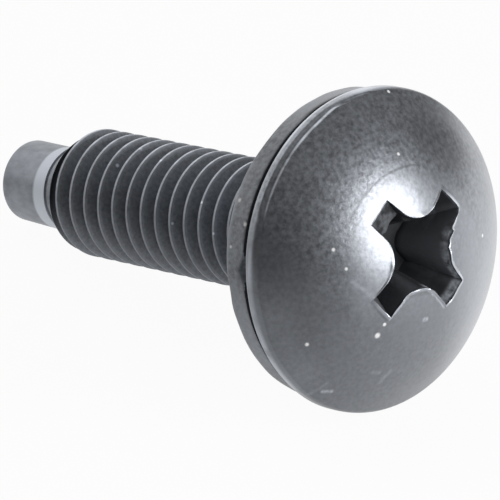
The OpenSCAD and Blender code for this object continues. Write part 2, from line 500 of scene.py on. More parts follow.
def thread_tree():
    """Wraps a flat grid into the thread."""
    group = bpy.data.node_groups.new("Rolled thread", "GeometryNodeTree")
    face = group.interface
    face.new_socket("Geometry", in_out="OUTPUT", socket_type="NodeSocketGeometry")
    for name in THREAD_INPUTS:
        face.new_socket(name, in_out="INPUT", socket_type="NodeSocketFloat")
    face.new_socket("Finish", in_out="INPUT", socket_type="NodeSocketMaterial")
    tree = Tree(group)
    given = tree.add("NodeGroupInput").outputs
    rows = PITCH_ROWS * thread_turns + 1
    sizes = {"Vertices X": TURN_COLUMNS + 1, "Vertices Y": rows, "Size X": 1.0, "Size Y": 1.0}
    grid = tree.add("GeometryNodeMeshGrid", sizes)
    place = tree.add("GeometryNodeInputPosition").outputs[0]
    split = tree.add("ShaderNodeSeparateXYZ", {0: place}).outputs
    round_share = tree.math("ADD", split[0], 0.5)
    up_share = tree.math("ADD", split[1], 0.5)
    level = tree.math("MULTIPLY_ADD", up_share, float(thread_turns), 0.5 / PITCH_ROWS)
    from_crest = tree.math("PINGPONG", level, 0.5)
    past_crest = tree.math("SUBTRACT", from_crest, given["Crest half"])
    down_flank = tree.add("ShaderNodeClamp", {0: tree.math("DIVIDE", past_crest, given["Flank"])}).outputs[0]
    groove = tree.math("MULTIPLY", down_flank, given["Depth"])
    full = tree.math("SUBTRACT", given["Crest radius"], groove)
    helix = tree.math("ADD", level, round_share)
    free_z = tree.math("MULTIPLY_ADD", helix, given["Pitch"], given["First crest"])
    capped = tree.math("MINIMUM", free_z, given["End"])
    height = tree.math("MAXIMUM", capped, given["Start"])
    above_start = tree.math("SUBTRACT", height, given["Start"])
    lead = tree.math("MULTIPLY_ADD", above_start, given["Lead slope"], given["Start radius"])
    below_end = tree.math("SUBTRACT", given["End"], height)
    run_out = tree.math("ADD", below_end, given["End radius"])
    radius = tree.math("MINIMUM", tree.math("MINIMUM", full, lead), run_out)
    angle = tree.math("MULTIPLY", round_share, 2 * math.pi)
    x = tree.math("MULTIPLY", radius, tree.math("COSINE", angle))
    y = tree.math("MULTIPLY", radius, tree.math("SINE", angle))
    where = tree.add("ShaderNodeCombineXYZ", {0: x, 1: y, 2: height}).outputs[0]
    bent = tree.add("GeometryNodeSetPosition", {"Geometry": grid.outputs["Mesh"], "Position": where})
    closed = tree.add("GeometryNodeMergeByDistance", {"Geometry": bent.outputs[0], "Distance": SEAM_MERGE})
    whole = tree.add("GeometryNodeRealizeInstances", {"Geometry": closed.outputs[0]})
    dressing = {"Geometry": whole.outputs[0], "Material": given["Finish"]}
    painted = tree.add("GeometryNodeSetMaterial", dressing)
    tree.add("NodeGroupOutput", {"Geometry": painted.outputs[0]})
    return group


print("sizes given to the thread tree:", len(THREAD_INPUTS))

# %% [markdown]
# The tree needs an object to work on. Its modifier is given the sizes by each socket's identifier, which
# stays right when two names are alike, and the evaluated result is taken out as a plain mesh.

# %% Mesh of the thread
black_thread = bpy.data.materials.new("black thread")


def plain_mesh(carrier):
    """The evaluated result of an object's modifiers as a plain mesh. The carrier is removed."""
    scene_state = bpy.context.evaluated_depsgraph_get()
    mesh = bpy.data.meshes.new_from_object(carrier.evaluated_get(scene_state))
    carrier.modifiers.clear()
    bpy.data.objects.remove(carrier)
    return mesh


carrier = bpy.data.objects.new("thread carrier", bpy.data.meshes.new("thread carrier"))
bpy.context.scene.collection.objects.link(carrier)
modifier = carrier.modifiers.new("Rolled thread", "NODES")
modifier.node_group = thread_tree()
for item in modifier.node_group.interface.items_tree:
    if item.in_out == "INPUT":
        modifier[item.identifier] = THREAD_INPUTS.get(item.name, black_thread)
thread_mesh = plain_mesh(carrier)
print("faces of the thread:", len(thread_mesh.polygons))

# %% [markdown]
# ## Neck and pilot
# The neck is the bare blank that the washer turns on, with a small fillet under the head. The pilot is a
# plain stub that guides the screw into its hole, with a collar and a groove where it leaves the thread.
# It wasn't struck quite in line, so it sits a little to one side. Both are turned shapes: a short section
# swept round the axis with as many columns as the thread has.

# %% Turned rows
PILOT_OFF = 0.115
PILOT_END_OFF = 0.07
PILOT_OFF_TURN = -28
NECK_FILLET = 0.12

turn_angles = np.linspace(0, 2 * math.pi, TURN_COLUMNS, endpoint=False)
turn_dir = np.column_stack([np.cos(turn_angles), np.sin(turn_angles)])
off_turn = math.radians(PILOT_OFF_TURN)
off_way = np.array([math.cos(off_turn), math.sin(off_turn)])
pilot_off = PILOT_OFF * off_way
end_off = PILOT_END_OFF * off_way


def turned_row(radius, height, off=(0.0, 0.0)):
    """One ring of points at a height, with its middle off the axis if need be."""
    xy = turn_dir * radius + np.array(off)
    return np.column_stack([xy, np.full(len(xy), height)])


neck_rows = [turned_row(NECK_R, THREAD_END_Z), turned_row(NECK_R, THREAD_END_Z / 2)]
for turn in QUARTER_TURN:
    radius = NECK_R + NECK_FILLET * (1 - math.cos(turn))
    neck_rows.append(turned_row(radius, -NECK_FILLET * (1 - math.sin(turn))))
neck_mesh = grid_mesh("neck", neck_rows)
print("neck diameter in mm:", round(2 * NECK_R, 2))

# %% [markdown]
# The pilot is built from its end upwards: a shallow dish, a rounded edge, the long taper, the flared
# collar and the groove under the thread.

# %% Rows of the pilot
PILOT_END_R = 1.525
PILOT_END_Z = -18.44
PILOT_BEVEL = 0.06
DISH = 0.06
DISH_R = 0.35 * PILOT_END_R
DISH_EDGE_R = PILOT_END_R - 2.2 * PILOT_BEVEL
DISH_EDGE = 0.2 * DISH
PILOT_ROWS = 17
COLLAR_LOW_R = 1.55
COLLAR_LOW_Z = -16.54
COLLAR_L = 0.66
COLLAR_FLARE = 0.09
COLLAR_ROWS = 7
GROOVE_LOW_Z = COLLAR_LOW_Z + COLLAR_L + 0.03
GROOVE = ((0.0, 0.08, 0.45), (0.12, 0.07, 0.4), (0.16, 0.01, 0.35))

bevel_z = PILOT_END_Z + PILOT_BEVEL
pilot_rows = [turned_row(DISH_R, PILOT_END_Z + DISH, end_off)]
pilot_rows.append(turned_row(DISH_EDGE_R, PILOT_END_Z + DISH_EDGE, end_off))
for turn in QUARTER_TURN:
    radius = PILOT_END_R - PILOT_BEVEL * (1 - math.sin(turn))
    pilot_rows.append(turned_row(radius, bevel_z - PILOT_BEVEL * math.cos(turn), end_off))
for share in np.linspace(0, 1, PILOT_ROWS + 1)[1:]:
    radius = PILOT_END_R + (COLLAR_LOW_R - PILOT_END_R) * share
    leaning = end_off + (pilot_off - end_off) * share
    pilot_rows.append(turned_row(radius, bevel_z + (COLLAR_LOW_Z - bevel_z) * share, leaning))
for share in np.linspace(0, 1, COLLAR_ROWS + 1)[1:]:
    radius = COLLAR_LOW_R + COLLAR_FLARE * share
    pilot_rows.append(turned_row(radius, COLLAR_LOW_Z + COLLAR_L * share, pilot_off * (1 - 0.5 * share)))
# Each row of the groove: its rise, its depth below the thread's start, and the share of the offset left
for rise, depth, share in GROOVE:
    pilot_rows.append(turned_row(PILOT_BASE_R - depth, GROOVE_LOW_Z + rise, pilot_off * share))
pilot_rows.append(turned_row(PILOT_BASE_R, THREAD_START_Z))
pilot_tip = (end_off[0], end_off[1], PILOT_END_Z + DISH)
pilot_mesh = grid_mesh("pilot", pilot_rows, first_pole=pilot_tip)
print("pilot length in mm:", round(THREAD_START_Z - PILOT_END_Z, 2))

# %% [markdown]
# ## One closed screw
# The real screw is one piece of steel, so its parts are joined and their shared rings merged. The ring of
# the bearing face and the ring of the neck have different numbers of points, and Bridge closes the flat
# face between them. The shank leans very slightly, as it does on many headed screws.

# %% Join the screw
black_finish = bpy.data.materials.new("black satin finish")
# The recess's finish is painted shade: a matte, nearly black copy of the head's finish
black_recess = bpy.data.materials.new("black recess")
bare_pilot = bpy.data.materials.new("grey pilot")
SCREW_FINISHES = [black_finish, black_recess, bare_pilot, black_thread]
MERGE = 0.0004
NO_LENGTH = 1e-6
SHARP_TURN = 32
SHANK_LEAN = 0.05
SCREW_PARTS = (
    (head_mesh, black_finish),
    (neck_mesh, black_thread),
    (thread_mesh, black_thread),
    (pilot_mesh, bare_pilot),
)

shape = bmesh.new()
for mesh, finish in SCREW_PARTS:
    before = len(shape.faces)
    shape.from_mesh(mesh)
    shape.faces.ensure_lookup_table()
    for face in shape.faces[before:]:
        face.material_index = SCREW_FINISHES.index(finish)
# The head's grid starts with the recess and ends with the fan that closes the pit
recess_faces = (len(recess_rows) + 1) * len(cross)
head_faces = len(head_mesh.polygons)
for face in shape.faces[:recess_faces] + shape.faces[head_faces - len(cross):head_faces]:
    face.material_index = SCREW_FINISHES.index(black_recess)
bmesh.ops.remove_doubles(shape, verts=shape.verts, dist=MERGE)
open_edges = [edge for edge in shape.edges if edge.is_boundary]
bmesh.ops.bridge_loops(shape, edges=open_edges)
bmesh.ops.dissolve_degenerate(shape, dist=NO_LENGTH, edges=shape.edges)
for point in shape.verts:
    lean = SHANK_LEAN * max(-point.co.z, 0.0) / -PILOT_END_Z
    point.co.x += lean * off_way[0]
    point.co.y += lean * off_way[1]
bmesh.ops.recalc_face_normals(shape, faces=shape.faces)
still_open = sum(1 for edge in shape.edges if not edge.is_manifold)
screw_mesh = bpy.data.meshes.new("screw_body")
shape.to_mesh(screw_mesh)
shape.free()
for finish in SCREW_FINISHES:
    screw_mesh.materials.append(finish)
print("screw faces:", len(screw_mesh.polygons), "edges left open:", still_open, "bridged:", len(open_edges))

# %% [markdown]
# ## Where the finish wears, and where light and shade are painted
# Handling rubs a black finish off whatever stands out, and a used screw is never evenly worn. The
# finishes read this from numbers kept on the points of the mesh: one for bare metal and for painted
# highlights on edges, uneven for mottled skin, one for the painted reflection on the dome and torn steel
# in the recess, and shade for painted shade where little light gets in. They could be painted by hand.
# Here each follows from where a point lies, so that it can be read and changed.

# %% Upright places of the points
own = np.zeros(len(screw_mesh.vertices) * 3)
screw_mesh.vertices.foreach_get("co", own)
own = own.reshape(-1, 3)
own_z = own[:, 2]
own_r = np.hypot(own[:, 0], own[:, 1])
own_turn = turns_of(own[:, :2] - HEAD_OFF)
from_head = np.hypot(own[:, 0] - HEAD_OFF[0], own[:, 1] - HEAD_OFF[1])
print("points of the screw:", len(own))

# %% [markdown]
# The crests of the thread are a little bare all round, and along the top side they are painted much paler,
# painted light where the light falls. The collar of the pilot is painted bright all round, a painted
# highlight.

# %% Wear and painted light of the crests and the collar
CREST_BARE = 0.33
CREST_TOP_LIGHT = 0.75
CREST_LIT_SIDE = (165, 20, 55)
CREST_ZONE = (THREAD_R - 0.1, THREAD_R - 0.03)
THREAD_MARGIN = 0.02
COLLAR_MARGIN = 0.01

in_thread = (own_z > THREAD_START_Z + THREAD_MARGIN) & (own_z < THREAD_END_Z - THREAD_MARGIN)
crest = smooth_step(own_r, *CREST_ZONE)
# Painted light: the crests on the top side are made much paler
crest = crest * (CREST_BARE + CREST_TOP_LIGHT * near_side(own_turn, *CREST_LIT_SIDE))
wear = np.where(in_thread, crest, 0.0)
collar_top = COLLAR_LOW_Z + COLLAR_L
on_collar = (own_z > COLLAR_LOW_Z - COLLAR_MARGIN) & (own_z < collar_top + COLLAR_MARGIN)
# Painted highlight: the collar is made bright all round
wear = np.where(on_collar, 1.0, wear)
print("points of bare crest and collar:", int((wear > 0.5).sum()))

# %% [markdown]
# The burr round the recess carries a painted highlight in the colour of bare steel along about half of the
# mouth, unevenly, and two stretches of it stay duller. Inside the mouth the wall below the burr is torn,
# and the chipped wing's shelf is broken steel.

# %% Painted highlight and broken steel round the recess
MOUTH_LOW_Z = 1.7
MOUTH_R = 3.1
INSIDE = -0.02
LIP_W = 0.13
LIP_SIDE = (BURR_TURN, 88, 104)
DULL_SIDES = {(356, 22, 36): 0.6, (303, 14, 24): 0.45}
TORN_SIDE = (50, 45, 60)
TORN_DEPTH = 0.4
SHELF_Z = CHIP_LOW_Z - 0.1
SHELF_R = CHIP_IN_R - 0.15

mouth_ids = np.nonzero((own_z > MOUTH_LOW_Z) & (own_r < MOUTH_R))[0]
lift = own_z[mouth_ids] - dome_height(own[mouth_ids, :2])
inside = lift < INSIDE
to_mouth = np.linalg.norm(own[mouth_ids, None, :2] - mouth[None, :, :2], axis=2)
nearest = to_mouth.argmin(axis=1)
burred = near_side(column_turn, *LIP_SIDE) * np.clip(0.9 + 1.1 * burr_noise, 0.25, 1.0)
for dull_side, dulled in DULL_SIDES.items():
    burred = burred * (1 - dulled * near_side(column_turn, *dull_side))
on_lip = (to_mouth.min(axis=1) < LIP_W) & (lift > INSIDE)
# Painted highlight along the burr of the lip
wear[mouth_ids] = np.where(on_lip, burred[nearest], wear[mouth_ids])
torn_wall = near_side(column_turn, *TORN_SIDE)[nearest]
torn_wall = torn_wall * smooth_step(lift, -TORN_DEPTH, -0.5 * TORN_DEPTH)
along_chip = (own[mouth_ids, :2] - CROSS_OFF) @ chip_way
on_shelf = inside & (own_z[mouth_ids] > SHELF_Z) & (along_chip > SHELF_R)
wear[mouth_ids] = np.where(on_shelf, 1.0, wear[mouth_ids])
print("points of bare lip:", int(on_lip.sum()), "of the broken shelf:", int(on_shelf.sum()))

# %% [markdown]
# The rim carries a painted highlight in the colour of bare steel: a little all round and much more on two
# sides. There the pale band is broad and runs up over the rounding, and elsewhere it is a thin line at the
# foot of the rim.

# %% Painted highlight of the rim
RIM_Z = (-0.01, 0.55)
RIM_DEPTH = 0.25
RIM_SHEEN = 0.25
RIM_MORE_SHEEN = 0.65
RIM_SHEEN_SIDE = (190, 16, 32)
LOWER_RIM_SIDE = (282, 24, 40)
BROAD_SIDE = (165, 8, 20)
LESS_BROAD_SIDE = (285, 22, 40)
LESS_BROAD = 0.3
THIN_LINE_Z = (0.11, 0.19)
THIN_SHARE = 0.8
LOWER_BAND_Z = (0.2, 0.42)
LOWER_BAND_SHARE = 0.85
SHEEN_W = 0.09
BROAD_W = 0.13
SHEEN_FADE = 0.06
BROAD_FADE = 0.08

on_rim = (own_z > RIM_Z[0]) & (own_z < RIM_Z[1]) & (from_head > HEAD_R - RIM_DEPTH)
broad = near_side(own_turn, *BROAD_SIDE) + LESS_BROAD * near_side(own_turn, *LESS_BROAD_SIDE)
rim_sheen = RIM_SHEEN + RIM_MORE_SHEEN * near_side(own_turn, *RIM_SHEEN_SIDE)
rim_sheen = rim_sheen * (1 - THIN_SHARE * (1 - broad) * smooth_step(own_z, *THIN_LINE_Z))
rim_patches = np.array([noise.noise(Vector((2.2 * x, 2.2 * y, 5.0 + 4.0 * z))) for x, y, z in own])
low_rim_sheen = near_side(own_turn, *LOWER_RIM_SIDE) * np.clip(0.9 + 0.8 * rim_patches, 0.3, 1.0)
low_rim_sheen = low_rim_sheen * (1 - LOWER_BAND_SHARE * smooth_step(own_z, *LOWER_BAND_Z))
rim_sheen_from = HEAD_R - FLAT_IN - SHEEN_W - BROAD_W * broad
rim_sheen_edge = smooth_step(from_head, rim_sheen_from, rim_sheen_from + SHEEN_FADE + BROAD_FADE * broad)
# Painted highlight along the rim, kept near its outer edge
rim_sheen = np.maximum(rim_sheen, low_rim_sheen) * rim_sheen_edge
wear = np.where(on_rim, rim_sheen, wear)
print("points of bare rim:", int((on_rim & (wear > 0.5)).sum()))

# %% [markdown]
# The ledge's edge shows as a thin broken line, brightest near one end: a painted highlight in the colour of
# bare steel.

# %% Painted highlight of the ledge
LEDGE_SHEEN = 0.3
LEDGE_MORE_SHEEN = 0.6
LEDGE_SHEEN_SIDE = (198, 7, 15)
LEDGE_LINE_SIDE = (212, 23.1, 33)
LEDGE_LINE_W = 0.018
LEDGE_LOW_Z = 0.2

from_ledge = np.abs(from_head - ledge_radius(own_turn) - LEDGE_STEP / 2)
at_ledge = LEDGE_SHEEN + LEDGE_MORE_SHEEN * near_side(own_turn, *LEDGE_SHEEN_SIDE)
at_ledge = at_ledge * near_side(own_turn, *LEDGE_LINE_SIDE)
at_ledge = at_ledge * np.clip(0.8 + 1.8 * flat_noise(own, 4.0, 9.0), 0.1, 1.0)
on_ledge = (own_z > LEDGE_LOW_Z) & (from_ledge < LEDGE_LINE_W)
wear = np.where(on_ledge, at_ledge, wear)
print("points along the ledge:", int(on_ledge.sum()))

# %% [markdown]
# The skin of the dome is mottled on one side and plainer on the others. It is painted paler towards the
# side that mirrors the bright floor, and plainer near the edge there, a painted reflection. Inside the ring
# on one side it is painted paler too, a painted highlight, and it is a little paler along one stretch of its
# edge. A thin ring round the recess, probably a mark of the punch, has smoother skin inside it.

# %% Mottled skin and painted reflection of the dome
RING_R = 3.22
RING_ZONE = (RING_R - 0.4, RING_R + 0.1)
RING_LOW_Z = 1.0
RING_SMOOTH = 0.45
LEAST_UNEVEN = 0.3
MOTTLED_TURN = 195
MOTTLED_FROM = (-3.0, 2.5)
PLAIN_TURN = 300
PLAIN_FROM = (2.4, 3.8)
PLAIN_SHARE = 0.9
PALE_EDGE_SIDE = (120, 16, 30)
PALE_EDGE_R = (4.7, 5.3)
PALE_EDGE_SHARE = 0.4
SHEEN_TURN = 88
SHEEN_FROM = (0.8, 4.0)
RING_SHEEN_SIDE = (272, 16, 38)
RING_SHEEN = 0.3
GREY_EDGE_SIDE = (290, 12, 25)
GREY_EDGE_R = (4.6, 5.4)
GREY_EDGE_SHARE = 0.35

in_ring = (1 - smooth_step(own_r, *RING_ZONE)) * (own_z > RING_LOW_Z)
uneven = smooth_step(out_along(own, MOTTLED_TURN), *MOTTLED_FROM)
uneven = uneven * (1 - PLAIN_SHARE * smooth_step(out_along(own, PLAIN_TURN), *PLAIN_FROM))
pale_edge = near_side(own_turn, *PALE_EDGE_SIDE) * smooth_step(from_head, *PALE_EDGE_R)
uneven = uneven * (1 - PALE_EDGE_SHARE * pale_edge)
uneven = (LEAST_UNEVEN + (1 - LEAST_UNEVEN) * uneven) * (1 - RING_SMOOTH * in_ring)
# Painted reflection on the side that mirrors the floor, and a painted highlight inside the ring
rubbed = smooth_step(out_along(own, SHEEN_TURN), *SHEEN_FROM)
rubbed = np.maximum(rubbed, RING_SHEEN * near_side(own_turn, *RING_SHEEN_SIDE) * in_ring)
grey_edge = near_side(own_turn, *GREY_EDGE_SIDE) * smooth_step(from_head, *GREY_EDGE_R)
rubbed = np.maximum(rubbed, GREY_EDGE_SHARE * grey_edge)
print("points of rubbed dome:", int(((rubbed > 0.5) & (own_z > 0)).sum()))

# %% [markdown]
# In the recess two of these numbers say other things: uneven is how much painted light a wall gets, and the
# number for the dome's painted reflection is how torn a wall is. Two of the walls face the light and are
# painted paler.

# %% Walls of the recess
RECESS_LOW_Z = 0.05
LIT_WALL_SIDE = (80, 27, 45)
LESS_LIT_SIDE = (305, 25, 45)
LESS_LIT = 0.6

rubbed[mouth_ids] = np.where(inside, torn_wall, rubbed[mouth_ids])
in_recess = (own_r < MOUTH_R) & (own_z > RECESS_LOW_Z) & (own_z < MOUTH_LOW_Z)
in_recess[mouth_ids] = inside
recess_turn = turns_of(own[in_recess, :2] - CROSS_OFF)
# Painted light on the walls that face the lamp
uneven[in_recess] = near_side(recess_turn, *LIT_WALL_SIDE)
uneven[in_recess] += LESS_LIT * near_side(recess_turn, *LESS_LIT_SIDE)
print("points in the recess:", int(in_recess.sum()))

# %% [markdown]
# Painted shade: the first groove of the thread and its underside are painted darker, and so is a patch on one
# side of the dome.

# %% Painted shade
DARK_START = (0.6, 0.85)
DARK_GROOVE_R = (THREAD_R - 0.18, THREAD_R - 0.08)
UNDER_SIDE = (PILOT_OFF_TURN, 35, 75)
UNDER_DARK = 0.4
DIM_SIDE = (140, 12, 28)
DIM_DARK = 0.3
DIM_FROM_R = (2.8, 3.8)
DIM_TO_R = (4.6, 5.2)

above_start = own_z - THREAD_START_Z
# Painted shade in the first groove and on the underside of the thread
dark_groove = (1 - smooth_step(above_start, *DARK_START)) * (1 - smooth_step(own_r, *DARK_GROOVE_R))
dark_thread = np.maximum(dark_groove, UNDER_DARK * near_side(own_turn, *UNDER_SIDE))
shade = np.where(in_thread, dark_thread, 0.0)
dim = DIM_DARK * near_side(own_turn, *DIM_SIDE)
dim = dim * smooth_step(own_r, *DIM_FROM_R) * (1 - smooth_step(own_r, *DIM_TO_R))
shade = np.where(own_z > 0.0, dim, shade)
print("darkest shade on the dome:", round(float(shade[own_z > 0].max()), 2))

# %% [markdown]
# The numbers are kept on the mesh before it is laid down, and so is each point's upright place, because
# noise and marks that follow the screw's own axis are easier to read there.

# %% Keep the numbers and lay the screw down


def keep(mesh, **layers):
    """Keeps one number for each point under each name, and the point's upright place in millimetres."""
    for name, values in layers.items():
        layer = mesh.attributes.new(name, "FLOAT", "POINT")
        layer.data.foreach_set("value", values.astype(np.float32))
    places = np.zeros(len(mesh.vertices) * 3, np.float32)
    mesh.vertices.foreach_get("co", places)
    mesh.attributes.new("own_place", "FLOAT_VECTOR", "POINT").data.foreach_set("vector", places)


def lay_down(name, mesh):
    """Smooths the faces, lays the mesh down and links it as an object at the origin."""
    mesh.polygons.foreach_set("use_smooth", np.ones(len(mesh.polygons), bool))
    mesh.set_sharp_from_angle(angle=math.radians(SHARP_TURN))
    mesh.transform(LAY_DOWN)
    piece = bpy.data.objects.new(name, mesh)
    bpy.context.scene.collection.objects.link(piece)
    return piece


keep(screw_mesh, wear=wear, uneven=uneven, rubbed=rubbed, shade=shade)
screw_body = lay_down("screw_body", screw_mesh)
print("points with wear:", int((wear > 0.5).sum()))

# %% [markdown]
# ## The washer
# The washer is a thin plastic ring with flat faces and slightly rounded outer edges. Handling has dented
# the edge next to the head, pulled the back edge down on one side and left it a little rough. It is
# another turned shape, and each row is shifted where the damage is.

# %% Section of the washer
WASHER_R = 5.56
WASHER_EDGE = 0.08
BORE_CLEAR = 0.15
BORE_R = NECK_R + BORE_CLEAR
BORE_BEVEL = 0.25
FACE_R = 0.75 * WASHER_R
SIDE_STEPS = 6

washer_top = -WASHER_GAP
washer_low = washer_top - WASHER_T


def washer_section():
    """Radius and height of each corner, from the bore round the head side to the outer edge and back."""
    points = [(BORE_R, washer_low + BORE_BEVEL), (BORE_R, washer_top - BORE_BEVEL)]
    points += [(BORE_R + BORE_BEVEL, washer_top), (FACE_R, washer_top)]
    for turn in QUARTER_TURN:
        shift_r = WASHER_EDGE * (1 - math.sin(turn))
        points.append((WASHER_R - shift_r, washer_top - WASHER_EDGE * (1 - math.cos(turn))))
    side_l = WASHER_T - 2 * WASHER_EDGE
    for step in range(1, SIDE_STEPS):
        points.append((WASHER_R, washer_top - WASHER_EDGE - side_l * step / SIDE_STEPS))
    for turn in QUARTER_TURN:
        shift_r = WASHER_EDGE * (1 - math.cos(turn))
        points.append((WASHER_R - shift_r, washer_low + WASHER_EDGE * (1 - math.sin(turn))))
    points += [(FACE_R, washer_low), (BORE_R + BORE_BEVEL, washer_low)]
    return points


print("corners of the washer's section:", len(washer_section()))

# %% [markdown]
# Each corner of the section becomes a ring. Only the corners near the outer edge are moved: those on the
# head side by the dent, those on the back by the pull and the roughness.

# %% Mesh of the washer
WASHER_COLUMNS = 256
DENT_SIDE = (260, 0, 6)
DENT_DOWN = 0.24
PULL_SIDE = (240, 12, 32)
PULL_DOWN = 0.11
ROUGH_BY = 0.02
ROUGH_SCALE = 6.2
OUTER_ZONE = (WASHER_R - 0.4, WASHER_R - 0.1)
HEAD_ZONE = (washer_top - 0.4, washer_top - 0.1)
BACK_ZONE = (washer_low + 0.05, washer_low + 0.35)

washer_angles = np.linspace(0, 2 * math.pi, WASHER_COLUMNS, endpoint=False)
washer_dir = np.column_stack([np.cos(washer_angles), np.sin(washer_angles)])
washer_turn = np.degrees(washer_angles)
dented = DENT_DOWN * near_side(washer_turn, *DENT_SIDE)
rough_edge = ROUGH_BY * flat_noise(washer_dir, ROUGH_SCALE, 3.0)
rough_back = ROUGH_BY * flat_noise(washer_dir, ROUGH_SCALE, 8.0)
pulled = PULL_DOWN * near_side(washer_turn, *PULL_SIDE) + rough_back
washer_rows = []
for radius, height in washer_section():
    near_edge = smooth_step(radius, *OUTER_ZONE)
    near_head = near_edge * smooth_step(height, *HEAD_ZONE)
    near_back = near_edge * (1 - smooth_step(height, *BACK_ZONE))
    radii = radius + rough_edge * near_back
    heights = height - dented * near_head - pulled * near_back
    washer_rows.append(np.column_stack([washer_dir * radii[:, None], heights]))
washer_rows.append(washer_rows[0])
washer_mesh = grid_mesh("washer_ring", washer_rows)
shape = bmesh.new()
shape.from_mesh(washer_mesh)
bmesh.ops.remove_doubles(shape, verts=shape.verts, dist=MERGE)
bmesh.ops.recalc_face_normals(shape, faces=shape.faces)
still_open = sum(1 for edge in shape.edges if not edge.is_manifold)
shape.to_mesh(washer_mesh)
shape.free()
print("washer faces:", len(washer_mesh.polygons), "edges left open:", still_open)

# %% [markdown]
# The washer is painted paler on two sides, painted light, and along its back edge, a painted highlight.
# The face towards the head gets hardly any light through the narrow gap, so it is given a darker finish as
# painted shade, and one stretch of the edge beside it gets painted shade too.

# %% Painted light and shade of the washer
washer_plastic = bpy.data.materials.new("dull black plastic")
shaded_plastic = bpy.data.materials.new("shaded plastic")
FACE_MARGIN = 0.015
BACK_EDGE = (-0.05, 0.08)
BACK_SHEEN = 0.6
LIT_SIDES = {(180, 8, 30): 0.7, (285, 8, 28): 0.5}
DARK_EDGE = (-0.22, -0.1)
DARK_EDGE_SIDE = (178, 12, 24)

for plastic in (washer_plastic, shaded_plastic):
    washer_mesh.materials.append(plastic)
# The face towards the head gets the painted shade finish
for face in washer_mesh.polygons:
    face.material_index = int(face.center.z > washer_top - FACE_MARGIN)
places = np.array([point.co for point in washer_mesh.vertices])
place_turn = turns_of(places)
# Painted highlight along the back edge and painted light on two sides
washer_sheen = BACK_SHEEN * (1 - smooth_step(places[:, 2] - washer_low, *BACK_EDGE))
for lit_side, most in LIT_SIDES.items():
    washer_sheen = np.maximum(washer_sheen, most * near_side(place_turn, *lit_side))
# Painted shade along one stretch of the edge under the head
dark_edge = smooth_step(places[:, 2] - washer_top, *DARK_EDGE) * near_side(place_turn, *DARK_EDGE_SIDE)
keep(washer_mesh, wear=washer_sheen, shade=dark_edge)
washer_ring = lay_down("washer_ring", washer_mesh)
print("scuffed points of the washer:", int((washer_sheen > 0.5).sum()))

# %% [markdown]
# ## Tools for the finishes
# Close up, a blackened surface is finely mottled. Noise gives the grains, read at the upright place of a
# point, so that their size is in millimetres and they follow the screw when it moves. The greys are
# slightly cool, as blackened steel is.

# %% Helpers for the finishes


def shader_tree(material):
    """A material's tree and the shader that stands for its skin."""
    material.use_nodes = True
    tree = Tree(material.node_tree)
    skin = material.node_tree.nodes["Principled BSDF"]
    return tree, skin


def kept(tree, name, output="Fac"):
    """A number that the mesh keeps for each point."""
    return tree.add("ShaderNodeAttribute", attribute_name=name).outputs[output]


def own_place(tree):
    """The upright place of a point in millimetres."""
    return kept(tree, "own_place", "Vector")


def spread(tree, value, low, high, from_low=0.3, from_high=0.7):
    """Stretches a range of values to another one. Noise mostly lies between 0.3 and 0.7."""
    limits = {"Value": value, "From Min": from_low, "From Max": from_high, "To Min": low, "To Max": high}
    return tree.add("ShaderNodeMapRange", limits).outputs["Result"]


def grain(tree, size_mm, detail=3.0, stretch=1.0):
    """Noise with grains of about a size, which can be stretched along the screw's axis."""
    place = tree.vector("MULTIPLY", 0, own_place(tree), (1.0, 1.0, 1.0 / stretch))
    settings = {"Vector": place, "Scale": 1 / size_mm, "Detail": detail, "Roughness": 0.55}
    return tree.add("ShaderNodeTexNoise", settings).outputs["Fac"]


def blend_colours(tree, share, first, second):
    """The first colour, with a share of the second laid over it."""
    node = tree.add("ShaderNodeMix", {"Factor": share}, data_type="RGBA")
    for key, value in (("A", first), ("B", second)):
        socket = [s for s in node.inputs if s.name == key and s.type == "RGBA"][0]
        if isinstance(value, bpy.types.NodeSocket):
            tree.tree.links.new(value, socket)
        else:
            socket.default_value = (*value, 1.0)
    return [s for s in node.outputs if s.type == "RGBA"][0]


def mottled(tree, noise_share, dark, light, from_low=0.3, from_high=0.7):
    """Dark and light grains by a noise."""
    return blend_colours(tree, spread(tree, noise_share, 0.0, 1.0, from_low, from_high), dark, light)


def grey(level):
    """A slightly cool grey."""
    return (0.945 * level, level, 1.1 * level)


def wire(tree, skin, **sources):
    """Links sources to sockets of the skin. An underscore in a name stands for a space."""
    for name, source in sources.items():
        tree.tree.links.new(source, skin.inputs[name.replace("_", " ")])


def shallow_bump(tree, skin, height, depth_mm):
    """Lets grains stand out from the skin by a depth."""
    bump = tree.add("ShaderNodeBump", {"Height": height, "Distance": depth_mm * MM, "Strength": 1.0})
    wire(tree, skin, Normal=bump.outputs[0])


print("a middle grey:", grey(0.5))

# %% [markdown]
# ## Marks
# Dust, nicks and scratches are few and lie in known places, so each is written down by its upright place
# in millimetres. A mark is a share from 0 to 1 that fades with the distance from a point or a line. The
# thin dark ring round the recess is a share too, by the distance from a circle.

# %% Helpers for marks
RING_W = 0.06
RING_TURN = 192
RING_DARKEST = 0.6
RING_FADE = (0.78 * RING_R, 0.95 * RING_R)
SCRATCH_W = 0.12


def ring_mark(tree):
    """A share of a thin ring round the recess, on one side of the dome."""
    flat = tree.vector("MULTIPLY", 0, own_place(tree), (1.0, 1.0, 0.0))
    gap = tree.math("ABSOLUTE", tree.math("SUBTRACT", tree.vector("LENGTH", "Value", flat), RING_R))
    thin = spread(tree, gap, RING_DARKEST, 0.0, 0.3 * RING_W, RING_W)
    turn = math.radians(RING_TURN)
    towards = tree.vector("DOT_PRODUCT", "Value", flat, (math.cos(turn), math.sin(turn), 0.0))
    return tree.math("MULTIPLY", thin, spread(tree, towards, 0.0, 1.0, *RING_FADE))


